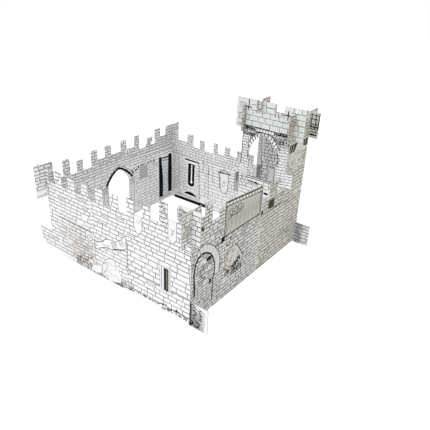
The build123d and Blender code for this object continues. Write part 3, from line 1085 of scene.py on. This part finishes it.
towerFrontPrint = {
    "edge": ([(78.6, 205), (78.6, 290)], 2.2, "line", 0.12),
    "edgeClear": box(77, 80, 200, 292),
    "topLine": [(79, 296), (209, 296)],
    "underHead": [([(79, 286), (116, 286)], 1.2, "grey", 0.6), ([(160, 286), (208, 285)], 1.2, "grey", 0.6)],
    # Edge of the arch's head from the left shoulder over the point to the right shoulder
    "arch": [(103.5, 253), (110.5, 268), (120, 281), (137.5, 291.5), (155, 281), (164.5, 268), (171.5, 253)],
    "archMiddle": (137.5, 226),
    "ringDepth": 12,
    "ringTop": 296,
    # Small stones left of the arch, larger and more slanted ones right of it
    "courses": [
        (78, 101, 150, 200, (6.4, 7.8), (8, 12), 1.05, "line", 0.05, 0.0),
        (79, 101, 200, 286, (6.4, 7.8), (8, 12), 1.5, "line", 0.02, 0.0, 0.0, 0.7),
        (78, 128, 282, 296, (5.5, 6.8), (6, 11), 1.6, "line", 0.0, 0.1),
        (150, 209, 278, 296, (5.5, 6.8), (6, 11), 1.7, "line", 0.0, 0.2),
    ],
    "rubble": (100, 150, 225, 285, 7.0, 1.4),
    # Slanted stones: left, right, low, rows, rise of a row, length of a stone, and slope
    "slant": (166, 225, 180, 15, 7.0, (8, 13), 0.1),
    "cornerMarks": (176, 208, 264, 296, 44, 3.0, "line", 1.6),
    "joints": [
        [(165, 264), (178, 261)], [(169, 254), (180, 251)], [(172, 244), (182, 242)],
        [(175, 234), (184, 232)], [(173, 263), (175, 253)], [(178, 251), (179, 242)],
        [(179, 242), (180, 233)],
    ],
    "jointCourses": (170, 184, 225, 264, (6.0, 7.5), (7, 11), 1.9, "line", 0.0),
    "roundMark": oval(191.5, 190.5, 5, 5),
    "roundDot": ([(191.5, 190.5)], 4.2, "black"),
    "sill": [
        ([(98, 179.5), (178, 179.5)], 2.0, "line", 0.3),
        ([(98, 175.5), (178, 175.5)], 1.2, "grey", 0.3),
    ],
    "sillDots": [((104, 167.5), (133, 165.5), 3.0, 4.6), ((106, 162.5), (130, 161.5), 4.0, 3.0)],
    "lowClear": [oval(188.5, 171.4, 6, 4.5), box(102, 135, 160, 173), oval(157, 146, 12, 7)],
    "slot": oval(157, 146, 7, 3.0),
    "slope": ([(178, 178), (196, 172), (212, 158), (224, 150)], 1.6, "line", 0.8),
    "lowCourses": [
        (165, 224, 140, 180, (6.2, 7.4), (9, 15), 1.5, "line", 0.05, 0.08, 1.5),
        (78, 165, 122, 178, (8, 9.5), (13, 22), 1.2),
        (165, 224, 122, 140, (8, 9.5), (13, 22), 1.2),
        (78, 209, 4, 122, (9.5, 11), (16, 28), 1.0),
    ],
}


def slantedStones(sheet, left, right, low, count, rise, stone, slope):
    rand = sheet["random"]
    for row in range(count):
        level = low + row * rise
        at = left + rand.uniform(0, 4)
        while at < right:
            length = rand.uniform(*stone)
            foot = level + (at - left) * slope
            stroke(sheet, [(at, foot), (at + length - 1.2, foot + length * slope)], 1.5, "line", 0.35)
            stroke(sheet, [(at + length - 0.8, foot + 1), (at + length + 0.4, foot + 6.4)], 1.5, "line", 0.3)
            at += length


def drawTowerFront(sheet):
    look = towerFrontPrint
    mark(sheet, *look["edge"])
    keepClear(sheet, look["edgeClear"])
    stroke(sheet, look["topLine"], 1.6, "line", wander=0.2, taper=False)
    each(stroke, sheet, look["underHead"])
    # Wedge stones round the arch
    arch = look["arch"]
    outer = []
    for u, v in arch:
        du, dv = u - look["archMiddle"][0], v - look["archMiddle"][1]
        reach = look["ringDepth"] / math.hypot(du, dv)
        outer.append((u + du * reach, min(v + dv * reach, look["ringTop"])))
    for (u0, v0), (u1, v1), (u2, v2), (u3, v3) in zip(arch, arch[1:], outer, outer[1:]):
        for share in (0.0, 0.5):
            start = (u0 + (u1 - u0) * share, v0 + (v1 - v0) * share)
            end = (u2 + (u3 - u2) * share, v2 + (v3 - v2) * share)
            stroke(sheet, [start, end], 2.2, "line", 0.5, 3.0)
    stroke(sheet, outer, 1.8, "line", 0.5)
    keepClear(sheet, arch + outer[::-1])
    each(courses, sheet, look["courses"])
    rubble(sheet, *look["rubble"])
    slantedStones(sheet, *look["slant"])
    scribble(sheet, *look["cornerMarks"])
    for joint in look["joints"]:
        mark(sheet, joint, 1.8, "line", 0.5)
    courses(sheet, *look["jointCourses"])
    # Round mark, sill and the slot with a light rim
    keepClear(sheet, look["roundMark"])
    blots(sheet, *look["roundDot"])
    mark(sheet, closed(look["roundMark"]), 0.8, "faint")
    each(mark, sheet, look["sill"])
    each(dottedLine, sheet, look["sillDots"])
    for outline in look["lowClear"]:
        keepClear(sheet, outline)
    fill(sheet, look["slot"], "black", 0.1)
    mark(sheet, *look["slope"])
    each(courses, sheet, look["lowCourses"])


# Tower head

headPrint = {
    # Middle, low, high, left, right and arm of the two cross slits
    "crosses": [(90, 341, 369, 82, 99, 349.2), (193.4, 337, 359.4, 183, 203, 348.4)],
    # Levels of the courses, their ends, and what one course takes after its levels
    "levels": (305.9, 318.6, 331.2, 343.8, 356.4, 369.5),
    "ends": (62, 237),
    "stones": ((20, 20), (18, 29), 1.35, "grey", 0.03, 0.0),
    # Low and high of the dark band at the foot, and the ends of its light part over the arch
    "footBand": (297.6, 304.8),
    "overArch": (113, 165),
    "band": (84.5, 210.5),
    # Count, start and spacing of the strokes along the band, and of the ring stones' joints
    "bandStrokes": (40, 85, 3.2),
    "ringJoints": (7, 118, 7.4),
    "footCourse": (62, 237, 297.4, 305.9, (20, 20), (18, 29), 1.3, "grey", 0.03, 0.0),
    "dots": [
        ((159.2, 367), (159.2, 345), 4.6, 3.0),
        ((162, 341), (182, 340.6), 6.0, 3.0),
        ((112, 341), (132, 341), 4.0, 2.6, "grey"),
        ((64, 366.5), (106, 366), 8.0, 1.8, "grey"),
    ],
    "rightCourses": [
        (105, 136, 292, 356, (6.0, 7.5), (8, 14), 1.5, "warm", 0.05, 0.08, 1.0),
        (136, 250, 292, 356, (7.5, 9.0), (11, 20), 1.5, "warm"),
    ],
    "rightMarks": (108, 134, 296, 345, 44, 2.8, "warm", 1.3),
    "leftCourses": (105, 250, 292, 356, (6.5, 8.0), (9, 15), 1.5, "warm"),
    "leftMarks": (109, 134, 294, 352, 40, 2.5, "warm", 1.2),
    "leftSeam": ([(133.4, 294), (133.4, 353)], 2.4, "line", 0.4),
    "rearBar": ([(213.5, 294.4), (234, 294.4)], 3.8, "black", 0.2),
    "rearLevels": (301, 308, 314, 320, 331.6, 341),
    "rearUprights": (216, 226.9, 234.5),
    "rearMarks": (214, 234, 300, 330, 20, 3.0, "line", 1.6),
    "rearClear": box(212, 237, 286, 348),
    "rearCourses": (62, 237, 287, 349, (9.5, 11), (16, 26), 1.2, "grey"),
}


def drawHeadFront(sheet):
    look = headPrint
    rand = sheet["random"]
    for middle, low, high, left, right, arm in look["crosses"]:
        mark(sheet, [(middle, low), (middle, high)], 2.6, "line", 0.15)
        mark(sheet, [(left, arm), (right, arm)], 2.4, "line", 0.15)
        keepClear(sheet, box(middle - 7, middle + 7, low, high))
    for low, high in zip(look["levels"], look["levels"][1:]):
        courses(sheet, *look["ends"], low, high, *look["stones"])
    low, high = look["footBand"]
    left, right = look["band"]
    archLeft, archRight = look["overArch"]
    mark(sheet, [(left, high), (right, high)], 1.7, "line", 0.15)
    fill(sheet, box(archLeft, archRight, low, high - 0.6), "clean")
    count, start, spacing = look["bandStrokes"]
    for index in range(count):
        u = start + index * spacing + rand.uniform(-0.5, 0.5)
        overArch = archLeft < u < archRight
        foot = high - rand.uniform(1.5, 3.5) if overArch else low + rand.uniform(0, 2.2)
        width = rand.uniform(1.2, 2.0) if overArch else rand.uniform(1.4, 2.8)
        stroke(sheet, [(u, high), (u + rand.uniform(-1, 1), foot)], width, "line", wander=0.3, taper=False)
    for start, end in ((left, archLeft + 1), (archRight - 1, right)):
        mark(sheet, [(start + (end - start) * step / 9, low + 2.2) for step in range(10)], 3.4, "line", 0.9)
    count, start, spacing = look["ringJoints"]
    for index in range(count):
        u = start + index * spacing
        mark(sheet, [(u, low), (u + (index - count // 2) * 0.5, high - 1)], 1.5, "line", 0.3)
    keepClear(sheet, box(84, 211, low - 2, high))
    courses(sheet, *look["footCourse"])
    each(dottedLine, sheet, look["dots"])


def drawHeadRight(sheet):
    each(courses, sheet, headPrint["rightCourses"])
    scribble(sheet, *headPrint["rightMarks"])


def drawHeadLeftInside(sheet):
    courses(sheet, *headPrint["leftCourses"])
    scribble(sheet, *headPrint["leftMarks"])
    stroke(sheet, *headPrint["leftSeam"])


def drawHeadRearFront(sheet):
    mark(sheet, *headPrint["rearBar"])
    for level in headPrint["rearLevels"]:
        mark(sheet, [(213.5, level), (236, level - 0.3)], 2.0)
    for u in headPrint["rearUprights"]:
        mark(sheet, [(u, 308), (u, 346)], 2.1)
    scribble(sheet, *headPrint["rearMarks"])
    keepClear(sheet, headPrint["rearClear"])
    courses(sheet, *headPrint["rearCourses"])


# Gate wall, outside

doorLine = [(-208.3, 60), (-209.0, 79.0), (-211.4, 115.6), (-207.8, 136.2), (-200.7, 146.0), (-188.7, 150.6),
            (-176, 148.5), (-161.2, 139.1), (-152.1, 126.6), (-145.9, 111.8), (-144.4, 94.7), (-148.4, 74),
            (-150, 20)]
gateRing = [(-219, 118), (-214, 140), (-205, 157), (-197, 165.5), (-185, 168.5), (-172, 166), (-160, 159),
            (-149, 150), (-138, 137), (-131, 126), (-128, 108), (-129, 86)]
ringInside = [(-146, 86), (-145, 112), (-154, 134), (-169, 146), (-187, 150), (-201, 144), (-209, 130),
              (-211, 112)]
wornPlaster = [(-76.3, 124), (-87, 119), (-94, 112), (-102, 110), (-110, 97), (-108, 84), (-109, 74),
               (-98, 66), (-85, 62), (-66, 58), (-48, 61), (-39, 74), (-46, 90), (-58, 105), (-66, 116)]
towerPatch = [(129, 222), (140, 216), (160, 217), (178, 214), (192, 219), (198, 232), (202, 246), (192, 255),
              (170, 258), (150, 254), (132, 257)]

gatePrint = {
    "clear": [
        gateRing + ringInside,
        wornPlaster,
        [(-118, 156), (24, 156), (24, 224), (-118, 236)],
        box(54.5, 83.5, 150, 174.5),
        towerPatch,
        box(127, 222, 262, 287),
    ],
    "fills": [
        ([(-126, 146), (-114.5, 147.5), (-115, 159), (-127, 158)], "black", 0.1),
        (
            [(-173, 126.5), (-159, 124.5), (-157.5, 127), (-157.5, 134), (-169, 135.5), (-173, 133)],
            "line", 0.1,
        ),
        ([(-162, 67), (-154, 68), (-153.5, 78), (-161.5, 78)], "line", 0.1),
        ([(-116, 224), (22, 212), (22, 219.5), (-116, 231.5)], "tan", 0.06),
        ([(25.5, 148), (33, 149), (33, 160), (25.5, 159)], "black", 0.1),
        ([(55.5, 152), (82.5, 150), (82, 173.5), (55.5, 173.5)], "warm", 0.1),
        ([(128.2, 264.5), (152, 264.5), (166, 285.2), (128.2, 285.2)], "warm", 0.1),
        ([(184, 285.4), (199, 268), (217, 266), (218, 284.6)], "warm", 0.1),
    ],
    # The ring's joints point at its middle
    "ringMiddle": (-179, 106),
    "ringDepth": 15,
    "doorBlots": [([(-190.4, 205)], 7.5), ([(-192, 209), (-188, 201), (-186, 206)], 4.6)],
    "doorLines": [
        ([(-108, 133), (-99, 129.5), (-93.5, 138), (-94, 146)], 2.8, "line", 0.4),
        ([(-170, 122), (-184, 123), (-191.5, 113), (-190, 101), (-182, 91), (-172, 90)], 1.7, "warm"),
        ([(-184, 119), (-178, 104), (-188, 97), (-186, 108)], 1.3, "warm"),
        (closed(wornPlaster), 2.0, "warm", 2.2, 3.5),
    ],
    "tufts": ([(-79, 68), (-74, 72), (-69, 74), (-64, 74), (-59, 79), (-54, 82), (-52, 76), (-60, 73),
               (-67, 68), (-73, 66)], 6.4, "black"),
    "tuftStems": (-76, -70, -64, -58, -53),
    "plasterMarks": [(-100, -76, 60, 72, 22, 4.0, "line", 1.9), (-108, -92, 54, 68, 10, 4.0, "brown", 1.8)],
    "plasterGrass": (-84, -40, 46, 16, 30, "warm", 1.1),
    # How many specks and short lines the worn plaster has, and how many lines the tower's patch has
    "plasterSpecks": 170,
    "plasterLines": 34,
    "patchCount": 52,
    # Count, start and spacing of the gate's boards, and of the nails along its top
    "boards": (26, -111, 5.2),
    "nails": (12, -110, 11.6),
    # The timber gate's left end, and how far its top falls for each millimetre along
    "timberLeft": -116,
    "timberFall": 12 / 138,
    "timberTop": ([(-116, 232), (22, 220)], 3.0, "line", 0.3),
    "nailHang": [(-5.8, -3.2), (-2.5, -5.4), (2.5, -5.6), (5.8, -3.4)],
    "timberLines": [
        ([(20.5, 158), (21.0, 220)], 3.2, "line", 0.2),
        ([(15.5, 160), (15.8, 212)], 1.4, "warm"),
        ([(-116.5, 158), (-116, 232)], 3.0, "line", 0.3),
        ([(-112, 158), (-111.5, 226)], 1.4, "warm", 0.3),
    ],
    "loops": (
        [(-106, 200), (-102, 211), (-95, 213), (-92, 205), (-97, 198), (-103, 203)],
        3, 16, 0, 1.9, "warm", 1.2,
    ),
    "timberFoot": [
        ([(-109, 192), (-92, 196), (-74, 193), (-58, 199), (-50, 208)], 2.2, "line", 1.0),
        ([(-117, 157.5), (22, 157.5)], 2.2, "warm"),
    ],
    "windowMarks": (59.5, 78.5, 155, 170.5, 14, 3.0, "black", 2.2, True),
    "windowSide": ([(56.5, 152), (56.5, 173.5)], 2.6, "black"),
    "patchOutline": (closed(towerPatch), 1.5, "tan", 1.8, 5.0),
    "patchLines": [
        ([(134, 236), (146, 231), (158, 236), (170, 228), (186, 233)], 1.5, "tan", 1.4),
        ([(130, 222), (140, 226), (152, 220), (160, 224)], 2.0, "warm", 1.2),
    ],
    "corbels": [
        ([(134, 265), (136, 285)], 1.4, "cream", 0.2, 4.0, 0.13),
        ([(143, 265), (149, 285)], 1.4, "cream", 0.2, 4.0, 0.13),
        ([(197, 270.5), (193, 285)], 1.4, "cream", 0.2, 4.0, 0.13),
        ([(206, 268), (204, 285)], 1.4, "cream", 0.2, 4.0, 0.13),
        ([(130, 265), (131, 285)], 3.6, "black", 0.4, 4.0, 0.12),
        ([(139, 265), (142, 285)], 3.6, "black", 0.4, 4.0, 0.12),
        ([(149, 266), (156, 285)], 3.6, "black", 0.4, 4.0, 0.12),
        ([(201.5, 269), (199, 285)], 3.6, "black", 0.4, 4.0, 0.12),
        ([(212, 267), (212, 285)], 3.6, "black", 0.4, 4.0, 0.12),
        ([(166, 262), (180, 262)], 1.4, "warm"),
    ],
    "courses": [
        (-250, -206, 4, 262, (6.8, 8.2), (11, 20), 1.5, "line", 0.05, 0.08, 0.8, 1.2),
        (-206, -117, 4, 150, (6.9, 8.2), (12, 22), 1.8, "line", 0.05, 0.08, 0.8, 1.1),
        (-206, -117, 150, 262, (6.8, 8.2), (11, 20), 1.8, "line", 0.05, 0.08, 0.8, 1.2),
        (-117, 24, 4, 156, (7.4, 9.0), (12, 24), 1.9, "line", 0.05, 0.08, 0.6, 1.1),
        (24, 127, 4, 150, (8.8, 10.8), (16, 34), 1.9, "line", 0.05, 0.08, 0.8),
        (24, 127, 150, 216, (7.6, 9.0), (14, 28), 1.9, "line", 0.05, 0.08, 0.8, 1.1),
        (127, 225, 4, 216, (8.6, 10.2), (16, 32), 2.0, "line", 0.05, 0.08, 0.8),
        (127, 225, 216, 262, (8.6, 10.5), (14, 30), 1.8, "warm", 0.05, 0.08, 0.0, 1.3),
    ],
}


def drawTimberGate(sheet):
    look = gatePrint
    count, start, spacing = look["boards"]
    for index in range(count):
        at = start + index * spacing
        top = 220 - (at - look["timberLeft"]) * look["timberFall"]
        mark(sheet, [(at, 160), (at + 0.3, top)], 1.0 if index % 2 else 0.7, "warm")
        mark(sheet, [(at + 2.4, 164 + index % 3 * 9), (at + 2.6, 186 + index % 4 * 6)], 0.7, "warm", 0.3)
    mark(sheet, *look["timberTop"])
    count, start, spacing = look["nails"]
    for index in range(count):
        at = start + index * spacing
        level = 227.3 - (at - look["timberLeft"]) * look["timberFall"]
        fill(sheet, oval(at, level, 3.3, 2.6, 8), "clean", 0.1)
        mark(sheet, shifted(look["nailHang"], at, level), 2.2, "line", 0.5, 3.0)
    each(mark, sheet, look["timberLines"])
    ladder(sheet, *look["loops"])
    each(mark, sheet, look["timberFoot"])


def drawGateWall(sheet):
    look = gatePrint
    rand = sheet["random"]
    layGround(sheet, look)
    mark(sheet, doorLine[:7], 4.6, "black", 0.2, 5.0)
    mark(sheet, doorLine[6:], 3.4, "black", 0.2, 5.0)
    for index, (u, v) in enumerate(gateRing[1:-2]):
        du, dv = look["ringMiddle"][0] - u, look["ringMiddle"][1] - v
        reach = look["ringDepth"] / math.hypot(du, dv)
        mark(sheet, [(u, v), (u + du * reach, v + dv * reach)], 1.2, "warm" if index < 3 else "tan")
    mark(sheet, gateRing, 1.7, "warm")
    each(blots, sheet, look["doorBlots"])
    each(mark, sheet, look["doorLines"])
    # Specks and short lines on the worn plaster, with dark tufts at its foot
    for _ in range(look["plasterSpecks"]):
        u, v = rand.uniform(-108, -42), rand.uniform(60, 122)
        if insideOutline(wornPlaster, u, v):
            blots(sheet, [(u, v)], rand.uniform(1.2, 2.6), "tan" if rand.random() < 0.7 else "warm", 0.07)
    for _ in range(look["plasterLines"]):
        u, v = rand.uniform(-106, -50), rand.uniform(62, 118)
        if insideOutline(wornPlaster, u, v):
            bend = (u + rand.uniform(-4, 4), v + rand.uniform(-3, 3))
            tip = (u + rand.uniform(2, 7), v + rand.uniform(-2, 4))
            mark(sheet, [(u, v), bend, tip], 1.1, "warm", 0.7, 3.0)
    blots(sheet, *look["tufts"])
    for u in look["tuftStems"]:
        mark(sheet, [(u, 72), (u - 1, 64), (u + 1, 58)], 2.4, "line", 1.0)
    each(scribble, sheet, look["plasterMarks"])
    grass(sheet, *look["plasterGrass"])
    drawTimberGate(sheet)
    scribble(sheet, *look["windowMarks"])
    mark(sheet, *look["windowSide"])
    # Plastered patch and corbels of the tower
    mark(sheet, *look["patchOutline"])
    for _ in range(look["patchCount"]):
        u, v = rand.uniform(130, 200), rand.uniform(216, 258)
        if insideOutline(towerPatch, u, v):
            bend = (u + rand.uniform(2, 6), v + rand.uniform(-3, 3))
            tip = (u + rand.uniform(5, 12), v + rand.uniform(-4, 4))
            mark(sheet, [(u, v), bend, tip], 1.4, "tan" if rand.random() < 0.8 else "warm", 0.9, 3.0)
    each(mark, sheet, look["patchLines"])
    each(mark, sheet, look["corbels"])
    each(courses, sheet, look["courses"])


# Left wall, outside: a plain stone ring round the doorway

outsidePrint = {
    # The doorway's middle, foot, shoulder, point, half width, and the bow of its curves
    "doorway": (-5, 4, 108, 158, 37, 6),
    "ringDepth": 14,
    # Count of the joints at each side, level of the first one, and rise
    "joints": (9, 15, 10.6),
    "courses": (-258, 258, 4, 264, (8.5, 10.5), (14, 28), 1.25, "grey"),
}


def doorOutline(grow):
    middle, foot, shoulder, point, half, bow = outsidePrint["doorway"]
    half, point = half + grow, point + grow
    outline = [(middle - half, foot), (middle - half, shoulder)]
    outline += arcPoints((middle - half, shoulder), (middle, point), bow, 6)[1:]
    outline += arcPoints((middle, point), (middle + half, shoulder), bow, 6)[1:]
    return outline + [(middle + half, foot)]


def drawLeftWallOutside(sheet):
    inner, outer = doorOutline(0), doorOutline(outsidePrint["ringDepth"])
    for ring in (inner, outer):
        mark(sheet, ring, 1.6, "line", 0.3)
    for ends in zip(inner[1:-1], outer[1:-1]):
        mark(sheet, ends, 1.2)
    count, first, rise = outsidePrint["joints"]
    for step in range(count):
        level = first + step * rise
        for near, far in ((inner[0], outer[0]), (inner[-1], outer[-1])):
            mark(sheet, [(near[0], level), (far[0], level)], 1.2)
    keepClear(sheet, outer)
    courses(sheet, *outsidePrint["courses"])


# Every printed face: name, sheet, side, seed, and what draws it

printedFaces = (
    ("frontWallPrint", "front_wall", -1, 11, drawFrontWall),
    ("leftWallYardPrint", "left_wall", 1, 21, drawLeftWallYard),
    ("rearWallYardPrint", "rear_wall", -1, 31, drawRearWallYard),
    ("towerFrontPrint", "tower_front", -1, 41, drawTowerFront),
    ("headFrontPrint", "head_front", -1, 51, drawHeadFront),
    ("headRightPrint", "head_right", 1, 61, drawHeadRight),
    ("headLeftInsidePrint", "head_left", 1, 62, drawHeadLeftInside),
    ("headRearFrontPrint", "head_rear", -1, 63, drawHeadRearFront),
    ("gateWallPrint", "gate_wall", 1, 71, drawGateWall),
)

# Faces that look away carry plain stones: name, sheet, side, low, high, rise and stone
plainFaces = (
    ("frontWallYardPrint", "front_wall", 1, 4, 262, (8.8, 10.8), (15, 29)),
    ("gateWallYardPrint", "gate_wall", -1, 4, 330, (8.0, 10.0), (14, 27)),
    ("rearWallBackPrint", "rear_wall", 1, 4, 330, (8.8, 10.8), (15, 29)),
    ("towerFrontBackPrint", "tower_front", 1, 4, 298, (8.0, 10.0), (13, 24)),
    ("headFrontBackPrint", "head_front", 1, 292, 372, (9.5, 11.5), (16, 26)),
    ("headRearBackPrint", "head_rear", 1, 286, 352, (9.5, 11.5), (18, 29)),
    ("headLeftOutsidePrint", "head_left", -1, 288, 358, (9.5, 11.5), (18, 29)),
    ("headRightInsidePrint", "head_right", -1, 288, 358, (9.5, 11.5), (16, 26)),
)
plainStones = {"seed": 81, "ends": (-258, 258), "pen": (1.2, "grey")}


def printFace(name, nodeName, facing, seed, draw, *values):
    sheet = openSheet(name, nodeName, facing, seed)
    draw(sheet, *values)
    finishSheet(sheet)


for face in printedFaces:
    printFace(*face)
for index, (name, nodeName, facing, *values) in enumerate(plainFaces):
    values = [*plainStones["ends"], *values, *plainStones["pen"]]
    printFace(name, nodeName, facing, plainStones["seed"] + index, courses, *values)
printFace("leftWallOutsidePrint", "left_wall", -1, 91, drawLeftWallOutside)


# Camera at the photo's angle

cameraView = {
    "place": (0.64843, -0.78185, 0.61856),
    "yaw": -0.6078,
    "pitch": 0.4797,
    "roll": 0.054,
    "lens": 38.707,
    "sensor": 36,
}


def placeCamera():
    yaw, pitch, roll = cameraView["yaw"], cameraView["pitch"], cameraView["roll"]
    forward = Vector((math.sin(yaw) * math.cos(pitch), math.cos(yaw) * math.cos(pitch), -math.sin(pitch)))
    right = Vector((math.cos(yaw), -math.sin(yaw), 0.0))
    up = right.cross(forward)
    tiltedRight = right * math.cos(roll) + up * math.sin(roll)
    tiltedUp = up * math.cos(roll) - right * math.sin(roll)
    data = bpy.data.cameras.new("photoCamera")
    data.sensor_width = cameraView["sensor"]
    data.lens = cameraView["lens"]
    camera = bpy.data.objects.new("photoCamera", data)
    turn = Matrix((tiltedRight, tiltedUp, -forward)).transposed().to_4x4()
    camera.matrix_world = Matrix.Translation(cameraView["place"]) @ turn
    bpy.context.scene.collection.objects.link(camera)
    bpy.context.scene.camera = camera


# Floor and light

studio = {
    "ambient": 0.6,
    "sunStrength": 1.2,
    "sunAngle": 0.7,
    "sunFrom": (-0.25, -0.72, 0.7),
    "fillStrength": 0.85,
    "fillAngle": 1.2,
    "fillFrom": (0.75, -0.3, 0.75),
    "floorGlow": 0.74,
    "floorColour": rgb(0.82, 0.83, 0.85),
    "floorRoughness": 0.9,
    # Half the floor's side and its depth under the castle, in metres
    "floorHalf": 6.0,
    "floorDepth": 0.0004,
}


def seenRays(tree):
    # 1 for what the camera sees directly or in a reflection, 0 for light on other pieces
    rays = addNode(tree, "ShaderNodeLightPath").outputs
    return calc(tree, "MAXIMUM", rays["Is Camera Ray"], rays["Is Glossy Ray"])


def makeFloor():
    half, depth = studio["floorHalf"], studio["floorDepth"]
    mesh = bpy.data.meshes.new("studioFloor")
    corners = [(-half, -half, -depth), (half, -half, -depth), (half, half, -depth), (-half, half, -depth)]
    mesh.from_pydata(corners, [], [(0, 1, 2, 3)])
    floor = bpy.data.objects.new("studioFloor", mesh)
    bpy.context.scene.collection.objects.link(floor)
    material, tree, shader = newMaterial("studioFloor", studio["floorRoughness"], 0.0)
    shader.inputs["Base Color"].default_value = studio["floorColour"]
    glow = addNode(tree, "ShaderNodeEmission")
    glow.inputs["Color"].default_value = rgb(1, 1, 1)
    strength = calc(tree, "MULTIPLY", seenRays(tree), studio["floorGlow"])
    tree.links.new(strength, glow.inputs["Strength"])
    both = addNode(tree, "ShaderNodeAddShader")
    tree.links.new(shader.outputs[0], both.inputs[0])
    tree.links.new(glow.outputs[0], both.inputs[1])
    tree.links.new(both.outputs[0], tree.nodes["Material Output"].inputs["Surface"])
    mesh.materials.append(material)


def makeLight():
    world = bpy.data.worlds.new("studioWorld")
    world.use_nodes = True
    tree = world.node_tree
    background = tree.nodes["Background"]
    strength = calc(tree, "MULTIPLY", seenRays(tree), 1.0 - studio["ambient"])
    strength = calc(tree, "ADD", strength, studio["ambient"])
    background.inputs["Color"].default_value = rgb(1, 1, 1)
    tree.links.new(strength, background.inputs["Strength"])
    bpy.context.scene.world = world
    for name in ("sun", "fill"):
        lamp = bpy.data.lights.new(name + "Lamp", "SUN")
        lamp.energy = studio[name + "Strength"]
        lamp.angle = studio[name + "Angle"]
        lampPiece = bpy.data.objects.new(name + "Lamp", lamp)
        lampPiece.rotation_euler = Vector(studio[name + "From"]).to_track_quat("Z", "Y").to_euler()
        bpy.context.scene.collection.objects.link(lampPiece)


placeCamera()
makeFloor()
makeLight()
bpy.context.scene.view_settings.view_transform = "Standard"
print("camera, floor and light set")
